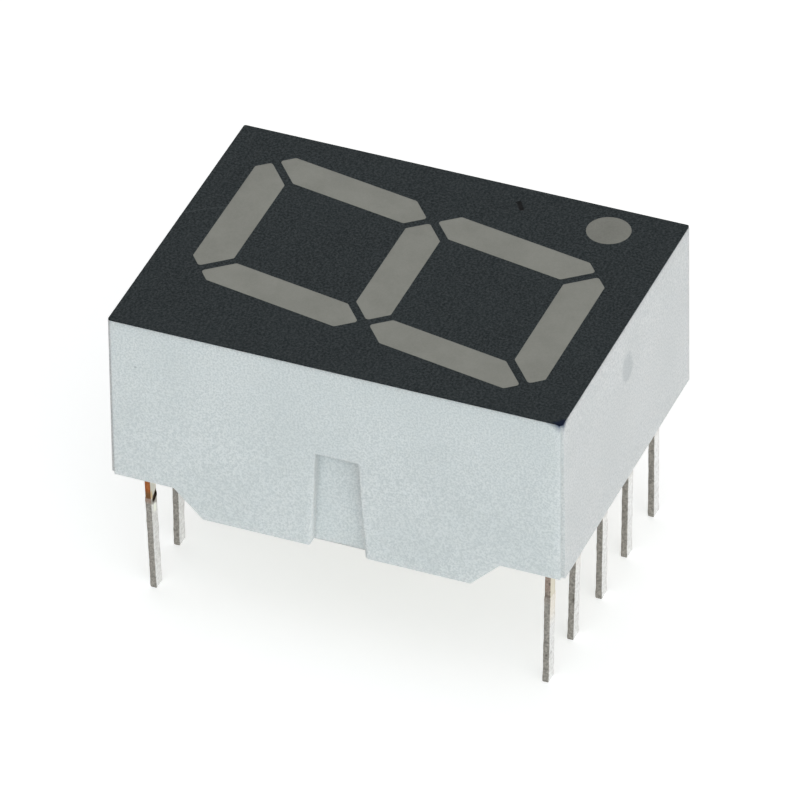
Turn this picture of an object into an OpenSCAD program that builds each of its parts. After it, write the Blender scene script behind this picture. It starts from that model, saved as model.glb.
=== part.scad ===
// Single-digit seven segment display: a moulded reflector body, diffused epoxy light
// pipes and a stamped lead frame that carries one chip for each bar and for the point.
// The leads' tips stand on Z = 0 and the face looks along +Z. The digit's top is at +Y.

/* [Body] */
// Width of the face
body_w = 12.45; // [11.2:0.05:16]
// Height of the face, along the digit
body_l = 17.02; // [15.3:0.02:22]
// Depth from the face to the feet
body_depth = 7.87; // [7.3:0.01:9]
// How far the feet stand below the end walls
foot_drop = 1.1; // [0.6:0.05:1.4]
// Distance from each end of the body to the foot
foot_inset = 3.45; // [2.2:0.01:5]
// Angle of the feet's sloping ends
foot_slope = 45; // [35:1:60]
// Thickness of the long walls
side_wall = 0.75; // [0.6:0.05:0.8]
// Thickness of the end walls
end_wall = 0.52; // [0.4:0.02:0.56]
// Radius of the upright corner edges
corner_r = 0.1; // [0.1:0.02:0.8]
// Radius of the corners of the hollow in the back
hollow_r = 0.35; // [0.1:0.05:0.5]
// Mould draft of the outer walls, in degrees
draft = 0.4; // [0:0.1:1]

/* [Side groove] */
// Distance from the face to the top of the groove
groove_start = 3.77; // [2:0.01:5.5]
// Width of the groove at its top
groove_top_w = 1.62; // [1:0.01:3]
// Width of the groove at the foot
groove_foot_w = 2.1; // [1:0.01:3]
// Depth of the groove, from the width of the face
groove_depth = 0.4; // [0.1:0.02:0.5]
// Radius of the foot's corners beside the groove
groove_lip_r = 0.1; // [0.05:0.05:0.4]
// How far the groove lies from the body's middle, toward the digit's base
groove_shift = 0.08; // [-0.3:0.01:0.3]

/* [Face coat] */
// Thickness of the printed coat
coat_t = 0.05; // [0.02:0.01:0.15]
// Bare rim between the coat and the face's edge
coat_rim = 0.02; // [0:0.01:0.08]

/* [Digit] */
// Face left above the digit
margin_top = 1.35; // [1.1:0.01:1.8]
// Face left below the digit
margin_base = 1.49; // [1.2:0.01:1.9]
// Face left on each side of the digit before it is slanted
margin_side = 2.285; // [2:0.005:2.5]
// Height of the three level bars
bar_w = 1.42; // [1.2:0.02:1.6]
// Width of the four side bars
side_bar_w = 1.37; // [1.2:0.01:1.6]
// Slant of the digit, in degrees
slant = 10; // [0:1:12]
// Opaque gap between neighbouring bars
bar_gap = 0.31; // [0.15:0.01:0.5]
// Bevel of the digit's top right and bottom left corners
bevel_far = 1.18; // [0.6:0.01:1.5]
// Bevel of the digit's top left and bottom right corners
bevel_near = 1; // [0.6:0.01:1.5]
// Radius of the bars' corners
bar_corner_r = 0.12; // [0.05:0.01:0.2]

/* [Decimal point] */
// Diameter of the point
point_d = 1.61; // [1.4:0.01:1.8]
// Distance from the side of the face to the point's middle
point_side = 1.335; // [1.2:0.005:1.5]
// Distance from the lower end of the face to the point's middle
point_base = 2.56; // [2.3:0.02:2.9]

/* [Light cavities] */
// Depth from the face to the lead frame
cavity_depth = 4.6; // [3.6:0.1:5.2]
// Length of the back opening of a bar's cavity
mouth_l = 2.4; // [2:0.1:2.8]
// Width of the back opening of a bar's cavity
mouth_w = 1; // [0.8:0.05:1.1]
// Diameter of the back opening of the point's cavity
point_mouth_d = 1.3; // [1.15:0.05:1.4]

/* [Leads] */
// Width of a lead
lead_w = 0.51; // [0.4:0.01:0.6]
// Thickness of the lead strip
lead_t = 0.25; // [0.2:0.01:0.3]
// Distance from the side of the body to the middle of the outer leads
column_inset = 1.145; // [1.12:0.005:1.2]
// Distance from the end of the body to the middle of each row of leads
row_inset = 0.89; // [0.8:0.01:1]
// Length of the leads below the feet
lead_reach = 4.41; // [2.5:0.01:6]
// Inner radius of the bend where a lead turns down
bend_r = 0.15; // [0.1:0.05:0.3]
// Gap between the point's lead and the common lead's branch beside it
strip_gap = 0.23; // [0.15:0.01:0.28]

/* [Bent leads] */
// How far the tip of lead c has been bent outwards, or inwards where negative
lean_c = -0.09; // [-0.3:0.01:0.15]
// The same for lead d
lean_d = -0.18; // [-0.3:0.01:0.15]
// The same for lead e
lean_e = -0.13; // [-0.3:0.01:0.15]
// The same for lead f
lean_f = 0.03; // [-0.3:0.01:0.15]
// The same for lead g
lean_g = -0.15; // [-0.3:0.01:0.15]
// The same for the point's lead
lean_dp = -0.02; // [-0.3:0.01:0.15]
// The same for the common lead's lower leg
lean_common = -0.08; // [-0.3:0.01:0.15]

/* [Chips and wires] */
// Side of a square LED chip
chip_w = 0.3; // [0.2:0.02:0.36]
// Height of an LED chip
chip_h = 0.25; // [0.15:0.01:0.3]
// Side of the square pad under a chip
pad_w = 0.65; // [0.55:0.01:0.7]
// Distance from the middle of a bar to its chip
chip_offset = 0.45; // [0.4:0.01:0.55]
// Distance from the middle of a bar to its wire's landing
bond_offset = 0.55; // [0.5:0.01:0.65]
// Distance from the middle of the point to its chip
point_chip_offset = 0.2; // [0.1:0.01:0.25]
// Distance from the edge of the common lead's branch to the point's wire
point_bond_inset = 0.125; // [0.08:0.005:0.16]
// Diameter of a bond wire
wire_dia = 0.04; // [0.03:0.005:0.06]
// Height of a wire's loop above its chip
loop_h = 0.22; // [0.18:0.01:0.3]
// Radius of a wire's two bends
loop_r = 0.15; // [0.1:0.01:0.17]

/* [Back seal] */
// Distance from the end walls' lower edge up to the epoxy
seal_recess = 0.5; // [0.1:0.05:1]

/* [Hidden] */
$fn = 64;
// How far a cutter runs past what it cuts
over = 1;
// Straight runs in each rounded corner of a bar
corner_steps = 4;

// Levels, up from the leads' tips
foot_z = lead_reach;
face_z = foot_z + body_depth;
end_z = foot_z + foot_drop;
top_z = face_z - coat_t;
frame_z = face_z - cavity_depth;
seal_z = end_z + seal_recess;

// Body
draft_run = body_depth * tan(draft);
inner_w = body_w - 2 * side_wall;
inner_l = body_l - 2 * end_wall;
slope_run = foot_drop / tan(foot_slope);

// Digit, drawn upright about its own middle and then slanted
half_h = (body_l - margin_top - margin_base) / 2;
half_w = body_w / 2 - margin_side;
digit_shift = (margin_base - margin_top) / 2;
skew = tan(slant);
side_bar_u = side_bar_w / cos(slant);
window_h = half_h - bar_w;
window_w = half_w - side_bar_u;
joint = half_w - side_bar_u / 2;
mitre = window_h - window_w;
// Half a gap, on edges that rise with the slant and on edges that fall against it
rise = bar_gap * norm([1, 1 + skew]) / 2;
fall = bar_gap * norm([1, 1 - skew]) / 2;
far_line = half_h + half_w - bevel_far;
near_line = half_h + half_w - bevel_near;

// Bars by letter, and the point. Lists below give one value for each, in this order.
LIGHTS = ["a", "b", "c", "d", "e", "f", "g", "dp"];
function order(light) = search([light], LIGHTS)[0];

// Where two straight lines v - u = p and u + v = q cross
function cross(p, q) = [(q - p) / 2, (q + p) / 2];

// Corners of the upright bars, anticlockwise. Bars d, e and c are a, b and f turned half round.
top_bar = [
    cross(near_line, mitre + fall),
    [mitre + fall - window_h, window_h],
    [window_h - mitre - rise, window_h],
    cross(mitre + rise, far_line),
    [far_line - half_h, half_h],
    [half_h - near_line, half_h]
];
right_bar = [
    [window_w, mitre - rise + window_w],
    [window_w, joint + fall - window_w],
    cross(rise - joint, joint + fall),
    [half_w, half_w - joint + rise],
    [half_w, far_line - half_w],
    cross(mitre - rise, far_line)
];
left_bar = [
    [-window_w, joint + rise - window_w],
    [-window_w, mitre - fall + window_w],
    cross(near_line, mitre - fall),
    [-half_w, near_line - half_w],
    [-half_w, half_w - joint + fall],
    cross(joint + rise, fall - joint)
];
middle_bar = [
    cross(joint - rise, fall - joint),
    [fall - joint + bar_w / 2, bar_w / -2],
    [joint - rise - bar_w / 2, bar_w / -2],
    cross(rise - joint, joint - fall),
    [joint - fall - bar_w / 2, bar_w / 2],
    [rise - joint + bar_w / 2, bar_w / 2]
];
bar_corners = [top_bar, right_bar, -left_bar, -top_bar, -right_bar, left_bar, middle_bar];

// Middles of the upright bars, and the back openings' corners in step with the bars' own
side_mid = (half_h - bar_w / 2) / 2;
end_mid = half_h - bar_w / 2;
bar_mids = [
    [0, end_mid], [joint, side_mid], [joint, -side_mid], [0, -end_mid],
    [-joint, -side_mid], [-joint, side_mid], [0, 0]
];
mouth_end = mouth_l / 2;
mouth_edge = mouth_w / 2;
mouth_side = mouth_end - mouth_edge;
flat_mouth = [
    [-mouth_end, 0], [-mouth_side, -mouth_edge], [mouth_side, -mouth_edge],
    [mouth_end, 0], [mouth_side, mouth_edge], [-mouth_side, mouth_edge]
];
right_mouth = [
    [-mouth_edge, mouth_side], [-mouth_edge, -mouth_side], [0, -mouth_end],
    [mouth_edge, -mouth_side], [mouth_edge, mouth_side], [0, mouth_end]
];
left_mouth = [for (i = [3, 4, 5, 0, 1, 2]) right_mouth[i]];
mouths = [flat_mouth, right_mouth, -left_mouth, -flat_mouth, -right_mouth, left_mouth, flat_mouth];

// Slants a point of the upright digit and puts it on the face
function placed(p) = [p.x + p.y * skew, p.y + digit_shift];
point_mid = [body_w / 2 - point_side, point_base - body_l / 2];
function middle(light) = light == "dp" ? point_mid : placed(bar_mids[order(light)]);

// Chips sit towards their own lead, and wires land on the common lead's side
upright_dir = [sin(slant), cos(slant)];
chip_dirs = [[1, 0], upright_dir, -upright_dir, [-1, 0], -upright_dir, upright_dir, [-1, 0], [1, 0]];
function chip_dir(light) = chip_dirs[order(light)];
// The pads under bars a and d also stay clear of the common lead, which runs beside them
level_chip_offset = max(chip_offset, (lead_w + pad_w) / 2 + strip_gap - end_mid * skew);
chip_offsets = [
    level_chip_offset, chip_offset, chip_offset, level_chip_offset,
    chip_offset, chip_offset, chip_offset, point_chip_offset
];
function chip_at(light) = middle(light) + chip_offsets[order(light)] * chip_dir(light);
function bond_at(light) = light == "dp"
    ? [branch_x + lead_w / 2 - point_bond_inset, point_mid.y]
    : middle(light) - bond_offset * chip_dir(light);

// Lead frame: five columns of leads, with the common lead in the middle one
outer_x = body_w / 2 - column_inset;
inner_x = outer_x / 2;
row_y = body_l / 2 - row_inset;
bend_outer = bend_r + lead_t;
// Where the flat part of a lead ends and its bend starts
flat_y = row_y + lead_t / 2 - bend_outer;
// Middle of the common lead's branch, which runs down beside the point's lead
branch_x = outer_x - lead_w - strip_gap;

// Outline with each corner of an anticlockwise list turned into an arc of radius r
function unit(v) = v / norm(v);
function corner_arc(before, corner, after, r) =
    let (
        to_before = unit(before - corner),
        to_after = unit(after - corner),
        half_angle = acos(to_before * to_after) / 2,
        centre = corner + unit(to_before + to_after) * r / sin(half_angle),
        start = corner + to_before * r / tan(half_angle) - centre,
        first = atan2(start.y, start.x),
        sweep = 180 - 2 * half_angle
    )
    [for (k = [0:corner_steps]) centre + r * [cos(first + sweep * k / corner_steps),
                                              sin(first + sweep * k / corner_steps)]];
function rounded(corners, r) =
    let (n = len(corners))
    [for (i = [0:n - 1]) each corner_arc(corners[(i + n - 1) % n], corners[i], corners[(i + 1) % n], r)];

// Closed solid through level outlines, lowest first, each with as many points
module loft(outlines, heights) {
    n = len(outlines[0]);
    last = len(outlines) - 1;
    points = [for (k = [0:last]) for (p = outlines[k]) [p.x, p.y, heights[k]]];
    bottom = [for (i = [0:n - 1]) i];
    top = [for (i = [n - 1:-1:0]) last * n + i];
    lower = [for (k = [0:last - 1]) for (i = [0:n - 1])
        [k * n + i, k * n + n + i, k * n + n + (i + 1) % n]];
    upper = [for (k = [0:last - 1]) for (i = [0:n - 1])
        [k * n + i, k * n + n + (i + 1) % n, k * n + (i + 1) % n]];
    polyhedron(points, concat([bottom], [top], lower, upper));
}

// Gives a flat drawing of X and Z a length along Y, and one of Y and Z a length along X
module along_y(length) {
    rotate([90, 0, 0])
        linear_extrude(height = length, center = true) children();
}

module along_x(length) {
    rotate([90, 0, 90])
        linear_extrude(height = length, center = true) children();
}

// Rectangle with round corners
module round_rectangle(w, l, r) {
    square([w - 2 * r, l], center = true);
    square([w, l - 2 * r], center = true);
    for (x = [-1, 1], y = [-1, 1])
        translate([x * (w / 2 - r), y * (l / 2 - r)]) circle(r);
}

// Light cavity of a bar or of the point, from the lead frame up to the face.
// With past above 0 it runs on straight at both ends, as a cutter.
module cavity(light, past = 0) {
    if (light == "dp") point_cavity(past);
    else bar_cavity(order(light), past);
}

module bar_cavity(bar, past) {
    front = rounded([for (p = bar_corners[bar]) placed(p)], bar_corner_r);
    back = rounded([for (p = mouths[bar]) placed(p + bar_mids[bar])], bar_corner_r);
    if (past > 0) loft([back, back, front, front], [frame_z - past, frame_z, face_z, face_z + past]);
    else loft([back, front], [frame_z, face_z]);
}

module point_cavity(past) {
    translate([point_mid.x, point_mid.y, frame_z]) {
        cylinder(h = cavity_depth, d1 = point_mouth_d, d2 = point_d);
        if (past > 0) {
            translate([0, 0, cavity_depth]) cylinder(h = past, d = point_d);
            translate([0, 0, -past]) cylinder(h = past, d = point_mouth_d);
        }
    }
}

module all_cavities() {
    for (light = LIGHTS) cavity(light, over);
}

// Section of the body, wider towards the feet by the draft
module drafted_section(face_width) {
    polygon([
        [-face_width / 2 - draft_run, foot_z],
        [face_width / 2 + draft_run, foot_z],
        [face_width / 2, face_z],
        [-face_width / 2, face_z]
    ]);
}

// Outer block of the body, with drafted sides and round upright edges
module body_block() {
    along_y(body_l - 2 * corner_r) drafted_section(body_w);
    along_x(body_w - 2 * corner_r) drafted_section(body_l);
    for (x = [-1, 1], y = [-1, 1])
        translate([x * (body_w / 2 - corner_r), y * (body_l / 2 - corner_r), foot_z])
            cylinder(h = body_depth, r1 = corner_r + draft_run, r2 = corner_r);
}

// Side view of the body: end walls stop short, and the feet have sloping ends
module side_view() {
    far = body_l / 2 + over;
    foot = body_l / 2 - foot_inset;
    polygon([
        [-far, top_z], [-far, end_z], [-foot - slope_run, end_z], [-foot, foot_z],
        [foot, foot_z], [foot + slope_run, end_z], [far, end_z], [far, top_z]
    ]);
}

// Side view of a groove, with the foot's corners rounded beside it
module groove_view() {
    top = face_z - groove_start;
    lip = groove_lip_r;
    half_top = groove_top_w / 2;
    half_foot = groove_foot_w / 2;
    polygon([
        [-half_top, top], [-half_foot, foot_z], [-half_foot, foot_z - over],
        [half_foot, foot_z - over], [half_foot, foot_z], [half_top, top]
    ]);
    for (side = [-1, 1])
        difference() {
            translate([side * half_foot, foot_z]) square(2 * lip, center = true);
            translate([side * (half_foot + lip), foot_z + lip]) circle(lip);
            translate([side * half_foot - lip - over, foot_z + lip]) square(2 * lip + 2 * over);
        }
}

module side_grooves() {
    floor_x = body_w / 2 - groove_depth;
    for (side = [-1, 1])
        translate([side * (floor_x + over / 2), -groove_shift, 0]) along_x(over) groove_view();
}

module back_hollow(low_z) {
    translate([0, 0, low_z])
        linear_extrude(height = frame_z - low_z) round_rectangle(inner_w, inner_l, hollow_r);
}

module housing() {
    color("whitesmoke")
        difference() {
            intersection() {
                body_block();
                along_x(body_w + 2 * over) side_view();
            }
            back_hollow(foot_z - over);
            all_cavities();
            side_grooves();
        }
}

module face_coat() {
    color([0.2, 0.21, 0.22])
        difference() {
            translate([0, 0, top_z])
                linear_extrude(height = coat_t)
                    round_rectangle(body_w - 2 * coat_rim, body_l - 2 * coat_rim, corner_r - coat_rim);
            all_cavities();
        }
}

module epoxy(light) {
    color([0.62, 0.61, 0.58])
        difference() {
            cavity(light);
            chip_solid(light);
            wire_solid(light);
        }
}

module chip_solid(light) {
    place = chip_at(light);
    translate([place.x, place.y, frame_z + chip_h / 2]) cube([chip_w, chip_w, chip_h], center = true);
}

// Wire with a flat-topped loop, up from the chip and down to the common lead
module wire_solid(light) {
    start = chip_at(light);
    end = bond_at(light);
    reach = norm(end - start);
    bend_z = chip_h + loop_h - loop_r;
    translate([start.x, start.y, frame_z])
        rotate([0, 0, atan2(end.y - start.y, end.x - start.x)]) {
            translate([0, 0, chip_h]) cylinder(h = bend_z - chip_h, d = wire_dia);
            translate([reach, 0, 0]) cylinder(h = bend_z, d = wire_dia);
            translate([loop_r, 0, bend_z + loop_r])
                rotate([0, 90, 0]) cylinder(h = reach - 2 * loop_r, d = wire_dia);
            translate([loop_r, 0, bend_z]) wire_bend(90);
            translate([reach - loop_r, 0, bend_z]) wire_bend(0);
        }
}

// Quarter bend in the X-Z plane, from the given angle above +X
module wire_bend(from) {
    rotate([90, 0, 0])
        rotate([0, 0, from])
            rotate_extrude(angle = 90) translate([loop_r, 0]) circle(d = wire_dia);
}

module led_chip(light) {
    color("goldenrod") chip_solid(light);
}

module bond_wire(light) {
    color("gold") wire_solid(light);
}

// Straight runs of the flat strip through a list of points, each along X or Y
module strip(points) {
    translate([0, 0, frame_z - lead_t])
        linear_extrude(height = lead_t)
            for (i = [1:len(points) - 1]) {
                span = points[i] - points[i - 1];
                translate((points[i] + points[i - 1]) / 2)
                    square([abs(span.x) + lead_w, abs(span.y) + lead_w], center = true);
            }
}

// Side view of a leg: flat end, bend, straight stretch in the epoxy and a free end that leans
module leg_view(lean) {
    bend_z = frame_z - bend_outer;
    outer_y = row_y + lead_t / 2;
    inner_y = row_y - lead_t / 2;
    translate([flat_y - lead_w, frame_z - lead_t]) square([lead_w, lead_t]);
    translate([flat_y, bend_z])
        intersection() {
            difference() {
                circle(bend_outer);
                circle(bend_r);
            }
            square(bend_outer);
        }
    polygon([
        [inner_y, bend_z], [inner_y, seal_z], [inner_y + lean, 0],
        [outer_y + lean, 0], [outer_y, seal_z], [outer_y, bend_z]
    ]);
}

// One leg, in the column at x. Row is 1 above the digit and -1 below it,
// and lean is how far the tip stands outwards.
module leg(x, row, lean) {
    translate([x, 0, 0])
        mirror([0, row < 0 ? 1 : 0, 0]) along_x(lead_w) leg_view(lean);
}

// Lead of one light: up or down its own column to the chip's level, and across to the chip's pad
module light_lead(light, x, row, lean = 0) {
    chip = chip_at(light);
    color("silver") {
        leg(x, row, lean);
        strip([[x, row * (flat_y - lead_w / 2)], [x, chip.y], chip]);
        translate([chip.x, chip.y, frame_z - lead_t / 2]) cube([pad_w, pad_w, lead_t], center = true);
    }
}

module common_lead() {
    top = flat_y - lead_w / 2;
    upper = bond_at("b").y;
    lower = bond_at("c").y;
    color("silver") {
        leg(0, 1, 0);
        leg(0, -1, lean_common);
        strip([[0, top], [0, upper]]);
        strip([[bond_at("f").x, upper], [bond_at("b").x, upper]]);
        strip([[bond_at("g").x, upper], [bond_at("g").x, lower]]);
        strip([[bond_at("e").x, lower], [branch_x, lower], [branch_x, bond_at("dp").y]]);
        strip([[0, lower], [0, -top]]);
        strip([[0, bond_at("a").y], bond_at("a")]);
        strip([[0, bond_at("d").y], bond_at("d")]);
    }
}

module lead_a() {
    light_lead("a", inner_x, 1);
}

module lead_b() {
    light_lead("b", outer_x, 1);
}

module lead_c() {
    light_lead("c", inner_x, -1, lean_c);
}

module lead_d() {
    light_lead("d", -inner_x, -1, lean_d);
}

module lead_e() {
    light_lead("e", -outer_x, -1, lean_e);
}

module lead_f() {
    light_lead("f", -inner_x, 1, lean_f);
}

module lead_g() {
    light_lead("g", -outer_x, 1, lean_g);
}

module lead_dp() {
    light_lead("dp", outer_x, -1, lean_dp);
}

// Epoxy over the back of the reflector, cast round every lead
module back_seal() {
    color([0.86, 0.84, 0.78])
        difference() {
            back_hollow(seal_z);
            common_lead();
            lead_a();
            lead_b();
            lead_c();
            lead_d();
            lead_e();
            lead_f();
            lead_g();
            lead_dp();
        }
}

module segment_a() {
    epoxy("a");
}

module segment_b() {
    epoxy("b");
}

module segment_c() {
    epoxy("c");
}

module segment_d() {
    epoxy("d");
}

module segment_e() {
    epoxy("e");
}

module segment_f() {
    epoxy("f");
}

module segment_g() {
    epoxy("g");
}

module decimal_point() {
    epoxy("dp");
}

module chip_a() {
    led_chip("a");
}

module chip_b() {
    led_chip("b");
}

module chip_c() {
    led_chip("c");
}

module chip_d() {
    led_chip("d");
}

module chip_e() {
    led_chip("e");
}

module chip_f() {
    led_chip("f");
}

module chip_g() {
    led_chip("g");
}

module chip_dp() {
    led_chip("dp");
}

module bond_wire_a() {
    bond_wire("a");
}

module bond_wire_b() {
    bond_wire("b");
}

module bond_wire_c() {
    bond_wire("c");
}

module bond_wire_d() {
    bond_wire("d");
}

module bond_wire_e() {
    bond_wire("e");
}

module bond_wire_f() {
    bond_wire("f");
}

module bond_wire_g() {
    bond_wire("g");
}

module bond_wire_dp() {
    bond_wire("dp");
}

housing();
face_coat();
back_seal();
common_lead();
segment_a();
segment_b();
segment_c();
segment_d();
segment_e();
segment_f();
segment_g();
decimal_point();
lead_a();
lead_b();
lead_c();
lead_d();
lead_e();
lead_f();
lead_g();
lead_dp();
chip_a();
chip_b();
chip_c();
chip_d();
chip_e();
chip_f();
chip_g();
chip_dp();
bond_wire_a();
bond_wire_b();
bond_wire_c();
bond_wire_d();
bond_wire_e();
bond_wire_f();
bond_wire_g();
bond_wire_dp();
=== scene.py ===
"""Looks of a single-digit seven segment display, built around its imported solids.

The row frame is in metres. Lengths below are written in millimetres times MM, and the
shaders work in millimetres too: Shader.place gives the row frame's coordinates times 1000.
"""
import math

import bmesh
import bpy
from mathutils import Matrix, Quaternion, Vector, noise


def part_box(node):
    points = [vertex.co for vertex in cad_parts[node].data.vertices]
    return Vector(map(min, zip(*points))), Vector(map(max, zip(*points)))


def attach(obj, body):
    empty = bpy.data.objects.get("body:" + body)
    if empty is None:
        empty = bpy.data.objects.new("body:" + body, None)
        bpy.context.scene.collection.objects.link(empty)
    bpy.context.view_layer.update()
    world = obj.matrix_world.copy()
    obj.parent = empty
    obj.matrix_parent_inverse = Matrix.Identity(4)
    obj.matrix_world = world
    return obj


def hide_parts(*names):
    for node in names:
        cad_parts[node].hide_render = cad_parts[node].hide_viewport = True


MM = 0.001
LETTERS = "abcdefg"
EPSILON = 0.002 * MM

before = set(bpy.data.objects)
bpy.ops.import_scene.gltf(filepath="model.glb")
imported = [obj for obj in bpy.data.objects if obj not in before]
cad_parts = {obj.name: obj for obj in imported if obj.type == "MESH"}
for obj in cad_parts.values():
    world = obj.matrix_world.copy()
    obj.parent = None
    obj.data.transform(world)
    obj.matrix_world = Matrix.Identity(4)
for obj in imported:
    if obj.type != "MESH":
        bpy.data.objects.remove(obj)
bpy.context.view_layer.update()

# ---------------------------------------------------------------- sizes, from the frame

body_low, body_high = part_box("housing")
seal_low, seal_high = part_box("back_seal")

FACE_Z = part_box("face_coat")[1].z
SEAL_Z = seal_low.z
BODY_HALF_W = body_high.x
BODY_HALF_L = body_high.y
LEG_PITCH = 2.54 * MM


def on_face(x, y, depth=0.0):
    """Point in mm at x and y from the middle of the face, and depth below it."""
    return Vector((x, y, FACE_Z / MM - depth))


# ---------------------------------------------------------------- shader helper


def colour(red, green, blue):
    """Linear colour of screen values from 0 to 255."""
    def linear(value):
        v = value / 255
        return v / 12.92 if v <= 0.04045 else ((v + 0.055) / 1.055) ** 2.4
    return (linear(red), linear(green), linear(blue), 1.0)


class Shader:
    """A node material, built by short calls that each return an output socket."""

    def __init__(self, name):
        self.material = bpy.data.materials.new(name)
        self.material.use_nodes = True
        self.tree = self.material.node_tree
        self.surface = self.tree.nodes["Principled BSDF"]
        coordinates = self.node("ShaderNodeTexCoord").outputs["Object"]
        self.place = self.vector("SCALE", coordinates, scale=1 / MM)

    def node(self, kind, **settings):
        made = self.tree.nodes.new(kind)
        for key, value in settings.items():
            setattr(made, key, value)
        return made

    def feed(self, socket, value):
        """Links a socket's source, or sets a plain value on it."""
        if isinstance(value, bpy.types.NodeSocket):
            self.tree.links.new(value, socket)
        else:
            socket.default_value = value

    def vector(self, operation, a, b=None, scale=None):
        made = self.node("ShaderNodeVectorMath", operation=operation)
        self.feed(made.inputs[0], a)
        if b is not None:
            self.feed(made.inputs[1], b)
        if scale is not None:
            self.feed(made.inputs["Scale"], scale)
        scalar = operation in ("DOT_PRODUCT", "LENGTH")
        return made.outputs["Value" if scalar else "Vector"]

    def math(self, operation, a, b=None, c=None, clamp=False):
        made = self.node("ShaderNodeMath", operation=operation, use_clamp=clamp)
        for socket, value in zip(made.inputs, (a, b, c)):
            if value is not None:
                self.feed(socket, value)
        return made.outputs[0]

    def axis(self, vector, name):
        made = self.node("ShaderNodeSeparateXYZ")
        self.feed(made.inputs[0], vector)
        return made.outputs[name]

    def noise(self, per_mm, detail=2.0, roughness=0.5, stretch=None):
        """Noise with so many features a millimetre, about 0.5 on average."""
        place = self.place
        if stretch is not None:
            place = self.vector("MULTIPLY", place, stretch)
        made = self.node("ShaderNodeTexNoise")
        self.feed(made.inputs["Vector"], place)
        self.feed(made.inputs["Scale"], per_mm)
        self.feed(made.inputs["Detail"], detail)
        self.feed(made.inputs["Roughness"], roughness)
        return made.outputs["Fac"]

    def fade(self, value, start, end, low=0.0, high=1.0):
        """Smooth step of a value, from low at start to high at end."""
        made = self.node("ShaderNodeMapRange", interpolation_type="SMOOTHSTEP")
        for name, number in (("Value", value), ("From Min", start), ("From Max", end),
                             ("To Min", low), ("To Max", high)):
            self.feed(made.inputs[name], number)
        return made.outputs["Result"]

    def mix(self, factor, a, b):
        """The colour a where the factor is 0, and b where it is 1."""
        made = self.node("ShaderNodeMix", data_type="RGBA")
        self.feed(made.inputs["Factor"], factor)
        self.feed(made.inputs[6], a)
        self.feed(made.inputs[7], b)
        return made.outputs[2]

    def streak(self, start, end, radius, soft, ragged=0.0, through_y=False):
        """1 inside a round-ended stroke between two points in mm, and 0 outside it.

        Its edge is soft and ragged by so many mm. A stroke that goes through Y is as good
        as endless along Y.
        """
        span = end - start
        offset = self.vector("SUBTRACT", self.place, start)
        if through_y:
            span.y = 0
            offset = self.vector("MULTIPLY", offset, (1, 0, 1))
        if span.length > 0:
            along = self.vector("DOT_PRODUCT", offset, span / span.length_squared)
            along = self.math("ADD", along, 0.0, clamp=True)
            offset = self.vector("SUBTRACT", offset, self.vector("SCALE", span, scale=along))
        distance = self.vector("LENGTH", offset)
        if ragged > 0:
            wander = self.math("SUBTRACT", self.noise(9.0), 0.5)
            distance = self.math("MULTIPLY_ADD", wander, ragged, distance)
        return self.fade(distance, radius + soft, radius - soft)

    def bump(self, height, depth, strength=1.0, over=None):
        """Normal raised by a height from 0 to 1, where 1 is depth in mm."""
        made = self.node("ShaderNodeBump")
        self.feed(made.inputs["Height"], height)
        made.inputs["Distance"].default_value = depth * MM
        made.inputs["Strength"].default_value = strength
        if over is not None:
            self.feed(made.inputs["Normal"], over)
        return made.outputs["Normal"]

    def scatter(self, weight, radius, scale):
        """Lets light in under the surface. The radius is for each colour, the scale in mm."""
        self.surface.inputs["Subsurface Weight"].default_value = weight
        self.surface.inputs["Subsurface Radius"].default_value = radius
        self.surface.inputs["Subsurface Scale"].default_value = scale * MM

    def finish(self, **inputs):
        """Sets the surface's inputs by name, with _ for a space, and returns the material."""
        for name, value in inputs.items():
            self.feed(self.surface.inputs[name.replace("_", " ")], value)
        return self.material


# ---------------------------------------------------------------- materials

INK = colour(0, 13, 38)
INK_CORNER = on_face(-BODY_HALF_W / MM, -BODY_HALF_L / MM)


def corner_stain(shader, reach, soft):
    """1 within a reach in mm along X, Y and down from the near corner of the face."""
    offset = shader.vector("SUBTRACT", shader.place, INK_CORNER)
    share = shader.vector("DOT_PRODUCT", offset, Vector((1 / reach.x, 1 / reach.y, -1 / reach.z)))
    wander = shader.math("SUBTRACT", shader.noise(7.0), 0.5)
    share = shader.math("MULTIPLY_ADD", wander, 0.5, share)
    return shader.fade(share, 1 + soft, 1 - soft)


def ink_run(shader):
    """Ink that pooled on the near corner of the face and ran a little way over its edges."""
    return corner_stain(shader, Vector((0.5, 0.55, 0.11)), 0.15)


def moulded_plastic():
    """White filled plastic: fine spark-eroded grain, faint clouding and a few marks."""
    s = Shader("moulded_plastic")
    cloud = s.fade(s.noise(0.35, detail=3), 0.3, 0.7)
    tone = s.mix(cloud, colour(234, 236, 236), colour(241, 242, 242))
    speckle = s.fade(s.noise(13, detail=3, roughness=0.75), 0.36, 0.64)
    tone = s.mix(s.math("MULTIPLY", speckle, 0.75), tone, colour(204, 208, 209))
    tone = wall_marks(s, tone)
    haze = corner_stain(s, Vector((0.6, 0.6, 0.3)), 0.7)
    tone = s.mix(haze, tone, colour(60, 78, 112))
    tone = s.mix(ink_run(s), tone, INK)

    grain = s.noise(38, detail=2, roughness=0.6)
    wave = s.noise(0.6, detail=1)
    normal = s.bump(grain, 0.006, strength=0.45, over=s.bump(wave, 0.02, strength=0.5))
    roughness = s.fade(s.noise(7, detail=2), 0.3, 0.7, 0.46, 0.58)
    s.scatter(1.0, (1.0, 0.96, 0.92), 0.35)
    s.surface.inputs["Specular IOR Level"].default_value = 0.3
    return s.finish(Base_Color=tone, Roughness=roughness, Normal=normal)


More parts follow.
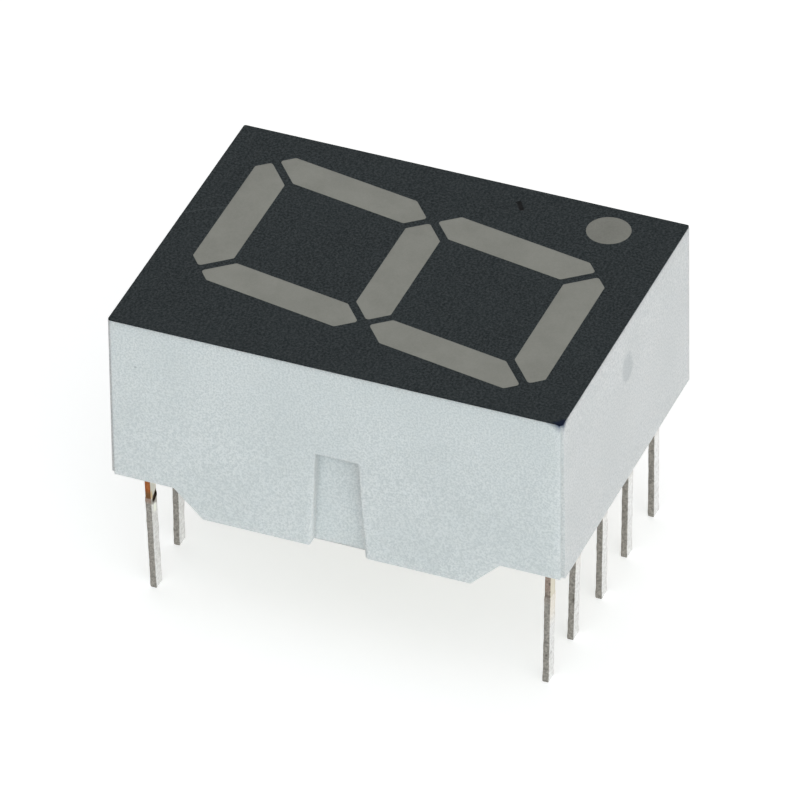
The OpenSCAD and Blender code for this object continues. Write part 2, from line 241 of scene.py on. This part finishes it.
def wall_marks(s, tone):
    """A smudge and a speck on the end wall, and two specks on the side wall."""
    end_wall = -BODY_HALF_L / MM
    side_wall = -BODY_HALF_W / MM
    smudge = s.streak(Vector((-0.04, end_wall, on_face(0, 0, 1.76).z)),
                      Vector((0.05, end_wall, on_face(0, 0, 2.02).z)), 0.46, 0.14, ragged=0.25)
    tone = s.mix(s.math("MULTIPLY", smudge, 0.3), tone, colour(150, 160, 165))
    # Middle, radius, strength.
    specks = (
        (Vector((1.3, end_wall, on_face(0, 0, 5.26).z)), 0.05, 0.25),
        (Vector((side_wall, 7.0, on_face(0, 0, 0.99).z)), 0.045, 0.3),
        (Vector((side_wall, 7.48, on_face(0, 0, 1.82).z)), 0.05, 0.55),
    )
    for middle, radius, strength in specks:
        speck = s.streak(middle, middle, radius, 0.035, ragged=0.05)
        tone = s.mix(s.math("MULTIPLY", speck, strength), tone, colour(95, 105, 112))
    return tone


def printed_face():
    """Dark matt ink, screen printed: mottled, a little uneven, with a nick and a hairline."""
    s = Shader("printed_face")
    cloud = s.fade(s.noise(0.5, detail=3), 0.3, 0.7)
    tone = s.mix(cloud, colour(20, 27, 29), colour(26, 33, 35))
    mottle = s.fade(s.noise(11, detail=4, roughness=0.75), 0.38, 0.66)
    tone = s.mix(s.math("MULTIPLY", mottle, 0.85), tone, colour(62, 67, 69))

    hairline_middle = on_face(-4.1, 4.5)
    off = s.vector("MULTIPLY", s.vector("SUBTRACT", s.place, hairline_middle), (1, 1, 0))
    ring = s.math("ABSOLUTE", s.math("SUBTRACT", s.vector("LENGTH", off), 6.08))
    near = s.streak(on_face(0.6, 8.35), on_face(1.3, 7.2), 0.25, 0.15)
    hairline = s.math("MULTIPLY", s.fade(ring, 0.035, 0.0), near)
    tone = s.mix(s.math("MULTIPLY", hairline, 0.3), tone, colour(92, 98, 100))

    nick = s.streak(on_face(5.31, -2.39), on_face(4.98, -2.62), 0.085, 0.03, ragged=0.05)
    tone = s.mix(nick, tone, colour(3, 4, 5))
    tone = s.mix(ink_run(s), tone, INK)

    grain = s.noise(26, detail=3, roughness=0.65)
    peel = s.noise(3.5, detail=2)
    normal = s.bump(grain, 0.006, strength=0.5, over=s.bump(peel, 0.006, strength=0.5))
    normal = s.bump(s.math("SUBTRACT", 1.0, nick), 0.03, over=normal)
    roughness = s.fade(s.noise(4, detail=3), 0.3, 0.7, 0.56, 0.7)
    s.surface.inputs["Specular IOR Level"].default_value = 0.08
    return s.finish(Base_Color=tone, Roughness=roughness, Normal=normal)


def diffused_epoxy(name, dark, light):
    """Smoke-tinted epoxy full of fine diffusing powder."""
    s = Shader(name)
    cloud = s.fade(s.noise(0.8, detail=3), 0.3, 0.7)
    tone = s.mix(cloud, dark, light)
    powder = s.fade(s.noise(16, detail=3, roughness=0.7), 0.35, 0.65)
    tone = s.mix(s.math("MULTIPLY", powder, 0.12), tone, colour(160, 159, 150))
    normal = s.bump(s.noise(12, detail=2), 0.003, strength=0.4)
    roughness = s.fade(s.noise(5, detail=2), 0.3, 0.7, 0.4, 0.5)
    s.scatter(0.5, (1.0, 0.97, 0.9), 0.2)
    s.surface.inputs["Specular IOR Level"].default_value = 0.35
    return s.finish(Base_Color=tone, Roughness=roughness, Normal=normal)


def back_epoxy():
    """Milky casting epoxy: glossy, a little yellow, with tiny bubbles under its skin."""
    s = Shader("back_epoxy")
    cloud = s.fade(s.noise(0.45, detail=3), 0.3, 0.7)
    tone = s.mix(cloud, colour(219, 214, 196), colour(229, 225, 210))
    bubbles = s.node("ShaderNodeTexVoronoi")
    s.feed(bubbles.inputs["Vector"], s.place)
    s.feed(bubbles.inputs["Scale"], 1.6)
    bubble = s.fade(bubbles.outputs["Distance"], 0.09, 0.04)
    tone = s.mix(s.math("MULTIPLY", bubble, 0.35), tone, colour(245, 243, 236))
    normal = s.bump(s.noise(1.2, detail=2), 0.02, strength=0.6)
    roughness = s.fade(s.noise(3, detail=2), 0.3, 0.7, 0.2, 0.32)
    s.scatter(0.6, (1.0, 0.9, 0.7), 0.5)
    return s.finish(Base_Color=tone, Roughness=roughness, Normal=normal)


def dipped_lead():
    """Stamped copper strip, plated on its wide faces and dipped in solder below a line.

    Each lead's mesh holds the line's height in mm, how much copper its cut edges show, and
    how cream its plating is.
    """
    s = Shader("dipped_lead")
    dip_line, copper, cream = (
        s.node("ShaderNodeAttribute", attribute_name=name).outputs["Fac"]
        for name in ("dip_line", "copper", "cream"))
    facing = s.node("ShaderNodeTexCoord").outputs["Normal"]
    cut_edge = s.fade(s.math("ABSOLUTE", s.axis(facing, "X")), 0.55, 0.85)
    wander = s.math("SUBTRACT", s.noise(2.5, detail=2), 0.5)
    edge = s.math("MULTIPLY_ADD", wander, 0.12, dip_line)
    above = s.math("SUBTRACT", s.axis(s.place, "Z"), edge)
    bare = s.fade(above, -0.03, 0.03)

    smooth_solder, rough_solder = solder_tones(s, above, copper, cream)
    plating, bare_edge = strip_tones(s, above, copper, cream, rough_solder)
    solder = s.mix(cut_edge, smooth_solder, rough_solder)
    strip = s.mix(cut_edge, plating, bare_edge)
    tone = s.mix(bare, solder, strip)
    tone, residue = wide_face_marks_and_highlight(s, tone, facing, copper)
    tone = lead_specks(s, tone)

    lumps = s.bump(s.noise(9, detail=3, roughness=0.6), 0.03, strength=0.5)
    normal = s.bump(bare, 0.012, strength=0.8, over=lumps)
    roughness = s.fade(s.noise(6, detail=2), 0.3, 0.7, 0.38, 0.52)
    s.surface.inputs["Metallic"].default_value = 1.0
    edge_tint = s.mix(residue, (1, 1, 1, 1), colour(60, 48, 36))
    return s.finish(Base_Color=tone, Roughness=roughness, Normal=normal, Specular_Tint=edge_tint)


def solder_tones(s, above, copper, cream):
    """Colours of the solder on the wide faces, and on the rougher cut edges."""
    mottle = s.fade(s.noise(9, detail=4, roughness=0.75), 0.34, 0.66)
    smooth = s.mix(mottle, colour(211, 210, 208), colour(239, 239, 238))
    stain = s.math("MULTIPLY", cream, s.fade(above, -1.5, -0.5))
    smooth = s.mix(s.math("MULTIPLY", stain, 0.8), smooth, colour(231, 217, 192))

    rough = s.mix(mottle, colour(120, 117, 112), colour(163, 159, 152))
    pits = s.fade(s.noise(6, detail=3, roughness=0.8), 0.64, 0.74)
    rough = s.mix(s.math("MULTIPLY", pits, 0.7), rough, colour(80, 75, 70))
    warm = s.math("MULTIPLY", s.fade(above, -0.3, -0.12), copper)
    rough = s.mix(s.math("MULTIPLY", warm, 0.7), rough, colour(146, 122, 108))
    return smooth, rough


def strip_tones(s, above, copper, cream, rough_solder):
    """Colours of the strip above the dip line: its plated wide faces, and its cut edges."""
    plating = s.mix(s.noise(1.5), colour(206, 204, 193), colour(220, 219, 212))
    plating = s.mix(s.math("MULTIPLY", cream, 0.6), plating, colour(218, 200, 160))

    grain = s.fade(s.noise(6, detail=3), 0.35, 0.65)
    bare_copper = s.mix(grain, colour(156, 96, 56), colour(132, 76, 40))
    tide = s.math("MULTIPLY", s.fade(above, -0.04, 0.02), s.fade(above, 0.36, 0.2))
    bare_copper = s.mix(s.math("MULTIPLY", tide, 0.85), bare_copper, colour(104, 78, 52))
    return plating, s.mix(copper, rough_solder, bare_copper)


def wide_face_marks_and_highlight(s, tone, facing, copper):
    """Flux, stains and a painted highlight on the near face of lead g, and where its residue is
    dull.
    """
    near_wide = s.fade(s.axis(facing, "Y"), -0.5, -0.85)
    on_bare_lead = s.math("MULTIPLY", near_wide, s.fade(copper, 0.8, 0.95))
    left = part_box("lead_g")[0].x / MM
    # From and to (mm across the face, mm above the tips), radius, strength, colour.
    # The last is the residue.
    marks = (
        ((0.0, 3.86), (0.5, 3.66), 0.12, 0.6, colour(136, 128, 114)),
        ((0.08, 4.22), (0.08, 4.02), 0.06, 0.7, colour(216, 184, 126)),
        ((0.5, 4.2), (0.5, 4.7), 0.04, 0.6, colour(206, 172, 140)),
        # A painted highlight: near-white colour where the solder bead would catch the light.
        ((0.26, 3.54), (0.28, 3.36), 0.1, 0.9, colour(253, 255, 243)),
        ((0.48, 4.0), (0.22, 3.88), 0.14, 0.95, colour(62, 48, 34)),
    )
    for (start_x, start_z), (end_x, end_z), radius, strength, stain in marks:
        start = Vector((left + start_x, 0, start_z))
        end = Vector((left + end_x, 0, end_z))
        mark = s.streak(start, end, radius, 0.05, ragged=0.1, through_y=True)
        mark = s.math("MULTIPLY", s.math("MULTIPLY", mark, on_bare_lead), strength)
        tone = s.mix(mark, tone, stain)
    return tone, mark


def lead_specks(s, tone):
    """Dark specks on leads e and d."""
    near_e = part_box("lead_e")[0] / MM
    near_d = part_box("lead_d")[0] / MM
    # Lead's low corner, from and to in mm beyond it, radius, strength.
    specks = (
        (near_e, (0, 0.09, 4.45), (0, 0.09, 4.42), 0.04, 0.6),
        (near_e, (0, 0.07, 4.1), (0, 0.07, 4.08), 0.035, 0.6),
        (near_e, (0, 0.08, 3.88), (0, 0.2, 3.88), 0.05, 0.45),
        (near_e, (0, 0.12, 1.79), (0, 0.3, 1.79), 0.03, 0.35),
        (near_e, (0, 0.21, 1.25), (0, 0.22, 1.22), 0.05, 0.5),
        (near_e, (0.18, 0.1, 1.27), (0.18, 0.1, 1.25), 0.045, 0.5),
        (near_d, (0, 0.17, 2.08), (0, 0.18, 1.76), 0.025, 0.7),
    )
    for corner, start, end, radius, strength in specks:
        speck = s.streak(corner + Vector(start), corner + Vector(end), radius, 0.03, ragged=0.04)
        tone = s.mix(s.math("MULTIPLY", speck, strength), tone, colour(66, 58, 52))
    return tone


def gold():
    """Drawn gold wire, with faint lines along its length."""
    s = Shader("gold")
    tone = s.mix(s.noise(30, stretch=(1, 1, 0.2)), colour(232, 184, 92), colour(250, 212, 128))
    s.surface.inputs["Metallic"].default_value = 1.0
    roughness = s.fade(s.noise(20), 0.3, 0.7, 0.22, 0.34)
    return s.finish(Base_Color=tone, Roughness=roughness)


def led_chip():
    """Amber semiconductor die with sawn, slightly mottled sides."""
    s = Shader("led_chip")
    tone = s.mix(s.noise(14, detail=3), colour(196, 132, 40), colour(226, 170, 72))
    normal = s.bump(s.noise(40), 0.003)
    roughness = s.fade(s.noise(20), 0.3, 0.7, 0.25, 0.5)
    return s.finish(Base_Color=tone, Roughness=roughness, Normal=normal)


# ---------------------------------------------------------------- mesh helpers


def new_piece(name, mesh, material, slot, *nodes):
    """Shows a mesh in place of CAD nodes, on the part's one body."""
    piece = bpy.data.objects.new(name, mesh)
    bpy.context.scene.collection.objects.link(piece)
    mesh.materials.clear()
    mesh.materials.append(material)
    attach(piece, "root")
    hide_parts(*nodes)
    return piece


def solid_of(node):
    """A node's solid as a clean bmesh, with flat regions merged into single faces."""
    bm = bmesh.new()
    bm.from_mesh(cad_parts[node].data)
    bmesh.ops.remove_doubles(bm, verts=bm.verts, dist=EPSILON / 4)
    bmesh.ops.dissolve_limit(bm, angle_limit=math.radians(0.2), verts=bm.verts, edges=bm.edges)
    bm.normal_update()
    return bm


def round_edges(bm, width, chosen, segments=2):
    """Rounds the sharp edges that chosen accepts. None of them is shorter than the width."""
    sharp_from = math.radians(25)
    sharp = [e for e in bm.edges
             if len(e.link_faces) == 2 and e.calc_face_angle(0) > sharp_from and chosen(e)]
    bmesh.ops.bevel(bm, geom=sharp, offset=width, offset_type="OFFSET", segments=segments,
                    profile=0.5, affect="EDGES", clamp_overlap=False)
    bmesh.ops.remove_doubles(bm, verts=bm.verts, dist=EPSILON)
    bmesh.ops.dissolve_degenerate(bm, dist=EPSILON / 4, edges=bm.edges)


def mesh_from(bm, name, smooth_below=32):
    """The bmesh as a mesh that is smooth except at edges sharper than an angle."""
    mesh = bpy.data.meshes.new(name)
    bmesh.ops.triangulate(bm, faces=[f for f in bm.faces if len(f.verts) > 4])
    bm.normal_update()
    bm.to_mesh(mesh)
    bm.free()
    mesh.shade_smooth()
    mesh.set_sharp_from_angle(angle=math.radians(smooth_below))
    return mesh


def store(mesh, name, values):
    """Keeps one number for each vertex, for the material to read."""
    attribute = mesh.attributes.new(name, "FLOAT", "POINT")
    attribute.data.foreach_set("value", values)


def weighted_normals(piece):
    """Keeps large flat faces flat beside their narrow rounded edges."""
    modifier = piece.modifiers.new("weighted normals", "WEIGHTED_NORMAL")
    modifier.keep_sharp = True


# ---------------------------------------------------------------- pieces


def make_housing(material):
    """The moulded body, with the small radius that a mould leaves around its foot."""
    bm = solid_of("housing")
    inset = 0.2 * MM
    radius = 0.03 * MM
    # At the foot, corners closer than the radius are merged, as it wouldn't fit between them.
    lips = [v for v in bm.verts if v.co.z < body_low.z + 0.11 * MM]
    bmesh.ops.remove_doubles(bm, verts=lips, dist=radius)

    def outside(co):
        return abs(co.x) > BODY_HALF_W - inset or abs(co.y) > BODY_HALF_L - inset

    def around_foot(edge):
        span = edge.verts[1].co - edge.verts[0].co
        upright = abs(span.z) > 0.9 * span.length
        return not upright and all(v.co.z < SEAL_Z and outside(v.co) for v in edge.verts)

    round_edges(bm, radius, around_foot, segments=3)
    mesh = mesh_from(bm, "housing_moulding", smooth_below=50)
    piece = new_piece("housing_moulding", mesh, material, "housing", "housing")
    weighted_normals(piece)
    return piece


# Height of each leg's dip line above the tips in mm, how much copper its cut edges show
# above it, and how cream its plating is. Keys are lead and row.
DIPS = {
    ("lead_g", 1): (3.99, 1.0, 0.08),
    ("lead_f", 1): (4.35, 0.25, 0.1),
    ("lead_a", 1): (4.28, 0.4, 0.1),
    ("lead_b", 1): (4.32, 0.3, 0.2),
    ("common_lead", 1): (4.24, 0.3, 0.1),
    ("lead_e", -1): (3.8, 0.2, 0.5),
    ("lead_d", -1): (4.12, 0.3, 0.2),
    ("common_lead", -1): (4.36, 0.2, 0.1),
    ("lead_c", -1): (4.3, 0.3, 0.1),
    ("lead_dp", -1): (4.4, 0.2, 0.1),
}


def dip_of(node, point):
    """(height of the dip line, copper, cream) of the leg that a point of a lead is on."""
    row = 1 if point.y > 0 else -1
    height, copper, cream = DIPS.get((node, row)) or DIPS[(node, -row)]
    return height * MM, copper, cream


def coat_level(place, dip):
    """How far in mm the uneven solder coat stands out at a place on a leg."""
    lumps = noise.noise(place / MM * 2.2) * 0.016 + noise.noise(place / MM * 6.5) * 0.007
    depth_below = (dip - place.z) / MM
    wet = min(1.0, max(0.0, depth_below / 0.08 + 0.5))
    bead = math.exp(-((depth_below - 0.1) / 0.12) ** 2) * 0.012
    drop = math.exp(-((place.z / MM - 0.16) / 0.14) ** 2) * 0.012
    return wet * (lumps + bead + drop) - (1 - wet) * 0.014


def make_lead(node, material):
    """A lead with softened stamped edges and an uneven solder coat below its dip line."""
    bm = solid_of(node)
    ring_gap = 0.09 * MM
    z = ring_gap
    while z < SEAL_Z + 3 * ring_gap:
        whole = [*bm.verts, *bm.edges, *bm.faces]
        bmesh.ops.bisect_plane(bm, geom=whole, plane_co=(0, 0, z), plane_no=(0, 0, 1),
                               dist=EPSILON / 4)
        z += ring_gap
    in_seal = SEAL_Z + 2.5 * ring_gap
    radius = 0.035 * MM
    round_edges(bm, radius, lambda edge: all(v.co.z < in_seal for v in edge.verts))
    bm.normal_update()
    for v in bm.verts:
        if v.co.z < SEAL_Z + ring_gap:
            flat = Vector((v.normal.x, v.normal.y, 0))
            v.co += flat * coat_level(v.co, dip_of(node, v.co)[0]) * MM
    mesh = mesh_from(bm, node + "_dipped", smooth_below=50)
    dips = [dip_of(node, v.co) for v in mesh.vertices]
    store(mesh, "dip_line", [d[0] / MM for d in dips])
    store(mesh, "copper", [d[1] for d in dips])
    store(mesh, "cream", [d[2] for d in dips])
    return new_piece(node + "_dipped", mesh, material, "tinned_lead", node)


def leg_holes():
    """(middle x, middle y, half width, half thickness) of each leg where it leaves the seal."""
    margin = 0.1 * MM
    corners = [v.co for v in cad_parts["back_seal"].data.vertices
               if v.co.z < SEAL_Z + EPSILON
               and abs(v.co.x) < seal_high.x - margin and abs(v.co.y) < seal_high.y - margin]
    groups = {}
    for co in corners:
        groups.setdefault((round(co.x / LEG_PITCH), co.y > 0), []).append(co)
    found = []
    for group in groups.values():
        xs, ys = [co.x for co in group], [co.y for co in group]
        found.append(((min(xs) + max(xs)) / 2, (min(ys) + max(ys)) / 2,
                      (max(xs) - min(xs)) / 2, (max(ys) - min(ys)) / 2))
    return found


def skin_of(bm):
    """The faces of the back epoxy's free surface."""
    return [f for f in bm.faces if all(v.co.z < SEAL_Z + EPSILON for v in f.verts)]


def divide_skin(bm, step):
    """Cuts the free surface into a grid that is fine enough to bend."""
    for axis, reach in ((0, seal_high.x), (1, seal_high.y)):
        count = int(2 * reach / step)
        for k in range(1, count):
            place, direction = Vector(), Vector()
            place[axis] = -reach + 2 * reach * k / count
            direction[axis] = 1
            faces = skin_of(bm)
            edges = {e for f in faces for e in f.edges}
            verts = {v for f in faces for v in f.verts}
            bmesh.ops.bisect_plane(bm, geom=[*verts, *edges, *faces], plane_co=place,
                                   plane_no=direction, dist=EPSILON / 4)


def skin_climb(point, legs):
    """How far in mm the skin is drawn up at a point, by the nearest wall or leg."""
    to_wall = min(seal_high.x - abs(point.x), seal_high.y - abs(point.y)) / MM
    climb = 0.24 * math.exp(-max(0.0, to_wall) / 0.3)
    for x, y, half_w, half_t in legs:
        gap_x = max(0.0, abs(point.x - x) - half_w)
        gap_y = max(0.0, abs(point.y - y) - half_t)
        climb = max(climb, 0.2 * math.exp(-math.hypot(gap_x, gap_y) / MM / 0.22))
    return climb + 0.02 * noise.noise(point / MM * 0.7)


def make_back_seal(material):
    """The back epoxy, with its skin drawn up the walls and the legs as it set."""
    bm = solid_of("back_seal")
    divide_skin(bm, 0.17 * MM)
    legs = leg_holes()
    for v in {v for f in skin_of(bm) for v in f.verts}:
        v.co.z -= skin_climb(v.co, legs) * MM
    mesh = mesh_from(bm, "back_seal_casting")
    return new_piece("back_seal_casting", mesh, material, "back_seal", "back_seal")


def paint(node, material):
    """Gives a CAD node that keeps its own shape a better material."""
    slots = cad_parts[node].data.materials
    slots.clear()
    slots.append(material)


# ---------------------------------------------------------------- camera, light and floor


def add_camera():
    """Camera at the photograph's angle, over the corner between the -X and -Y walls."""
    middle = Vector((0, 0, FACE_Z))
    aim = middle + Vector((0.42, 0.25, -6.01)) * MM
    bearing, fall, roll = (math.radians(a) for a in (22.41, 37.28, -0.853))
    distance = 354.13 * MM
    forward = Vector((math.cos(fall) * math.cos(bearing), math.cos(fall) * math.sin(bearing),
                      -math.sin(fall)))
    data = bpy.data.cameras.new("camera")
    data.sensor_width = 36
    data.lens = 449.9
    data.clip_start, data.clip_end = 0.01, 10
    camera = bpy.data.objects.new("camera", data)
    camera.rotation_mode = "QUATERNION"
    camera.rotation_quaternion = forward.to_track_quat("-Z", "Y") @ Quaternion((0, 0, 1), roll)
    camera.location = aim - forward * distance
    bpy.context.scene.collection.objects.link(camera)
    bpy.context.scene.camera = camera


LAMP_DISTANCE = 0.6


def add_softbox(name, direction, size, power, tint=(1, 1, 1)):
    """Square area lamp of a size in metres and a power in watts, from a direction."""
    data = bpy.data.lights.new(name, "AREA")
    data.size = size
    data.energy = power
    data.color = tint
    lamp = bpy.data.objects.new(name, data)
    back = Vector(direction).normalized()
    lamp.location = back * LAMP_DISTANCE
    lamp.rotation_mode = "QUATERNION"
    lamp.rotation_quaternion = (-back).to_track_quat("-Z", "Y")
    bpy.context.scene.collection.objects.link(lamp)


def seen_directly(tree):
    """1 for rays from the camera, off gloss or through glass, and 0 for the light itself."""
    path = tree.nodes.new("ShaderNodeLightPath")
    total = path.outputs["Is Camera Ray"]
    for name in ("Is Glossy Ray", "Is Transmission Ray"):
        add = tree.nodes.new("ShaderNodeMath")
        add.operation = "MAXIMUM"
        tree.links.new(total, add.inputs[0])
        tree.links.new(path.outputs[name], add.inputs[1])
        total = add.outputs[0]
    return total


def add_world():
    """White to look at, and a gentler even light on the object."""
    world = bpy.data.worlds.new("studio")
    bpy.context.scene.world = world
    world.use_nodes = True
    tree = world.node_tree
    tree.nodes.clear()
    light, white = (tree.nodes.new("ShaderNodeBackground") for _ in range(2))
    for background, strength in ((light, 0.45), (white, 1.0)):
        background.inputs["Color"].default_value = (1, 1, 1, 1)
        background.inputs["Strength"].default_value = strength
    mix = tree.nodes.new("ShaderNodeMixShader")
    tree.links.new(seen_directly(tree), mix.inputs["Fac"])
    tree.links.new(light.outputs[0], mix.inputs[1])
    tree.links.new(white.outputs[0], mix.inputs[2])
    output = tree.nodes.new("ShaderNodeOutputWorld")
    tree.links.new(mix.outputs[0], output.inputs["Surface"])


def floor_material():
    """Pale matt, lit up a little where it is seen, and clear to a camera below it."""
    material = bpy.data.materials.new("floor")
    material.use_nodes = True
    tree = material.node_tree
    tree.nodes.clear()
    matt = tree.nodes.new("ShaderNodeBsdfDiffuse")
    matt.inputs["Color"].default_value = (0.82, 0.82, 0.82, 1)
    glow = tree.nodes.new("ShaderNodeEmission")
    glow.inputs["Color"].default_value = (0.45, 0.45, 0.45, 1)
    tree.links.new(seen_directly(tree), glow.inputs["Strength"])
    both = tree.nodes.new("ShaderNodeAddShader")
    tree.links.new(matt.outputs[0], both.inputs[0])
    tree.links.new(glow.outputs[0], both.inputs[1])

    clear = tree.nodes.new("ShaderNodeBsdfTransparent")
    side = tree.nodes.new("ShaderNodeNewGeometry").outputs["Backfacing"]
    path = tree.nodes.new("ShaderNodeLightPath").outputs["Is Camera Ray"]
    under = tree.nodes.new("ShaderNodeMath")
    under.operation = "MULTIPLY"
    tree.links.new(side, under.inputs[0])
    tree.links.new(path, under.inputs[1])
    mix = tree.nodes.new("ShaderNodeMixShader")
    tree.links.new(under.outputs[0], mix.inputs["Fac"])
    tree.links.new(both.outputs[0], mix.inputs[1])
    tree.links.new(clear.outputs[0], mix.inputs[2])
    output = tree.nodes.new("ShaderNodeOutputMaterial")
    tree.links.new(mix.outputs[0], output.inputs["Surface"])
    return material


def add_floor():
    """Floor at the leads' tips. It keeps a faint shadow."""
    bm = bmesh.new()
    bmesh.ops.create_grid(bm, x_segments=1, y_segments=1, size=1.5)
    mesh = bpy.data.meshes.new("floor")
    bm.to_mesh(mesh)
    bm.free()
    mesh.materials.append(floor_material())
    floor = bpy.data.objects.new("floor", mesh)
    bpy.context.scene.collection.objects.link(floor)


# ---------------------------------------------------------------- build

add_camera()
add_world()
add_floor()
add_softbox("overhead softbox", (-0.25, -0.35, 1.0), 0.7, 0.92)
add_softbox("left softbox", (-1.0, -0.4, 0.3), 0.6, 0.92, tint=(0.55, 0.95, 1.0))
add_softbox("right softbox", (-0.8, -1.0, 0.3), 0.6, 0.94, tint=(1.0, 0.89, 0.86))
add_softbox("rear softbox", (1.0, 0.9, 0.45), 0.7, 0.85)

bpy.context.scene.view_settings.view_transform = "Standard"

make_housing(moulded_plastic())
paint("face_coat", printed_face())
bar_epoxy = diffused_epoxy("bar_epoxy", colour(124, 124, 116), colour(131, 131, 123))
point_epoxy = diffused_epoxy("point_epoxy", colour(107, 107, 99), colour(114, 114, 106))
for letter in LETTERS:
    paint("segment_" + letter, bar_epoxy)
paint("decimal_point", point_epoxy)
make_back_seal(back_epoxy())
lead_metal = dipped_lead()
for lead in [*("lead_" + letter for letter in LETTERS), "lead_dp", "common_lead"]:
    make_lead(lead, lead_metal)
gold_metal = gold()
chip_amber = led_chip()
for light in [*LETTERS, "dp"]:
    paint("chip_" + light, chip_amber)
    paint("bond_wire_" + light, gold_metal)
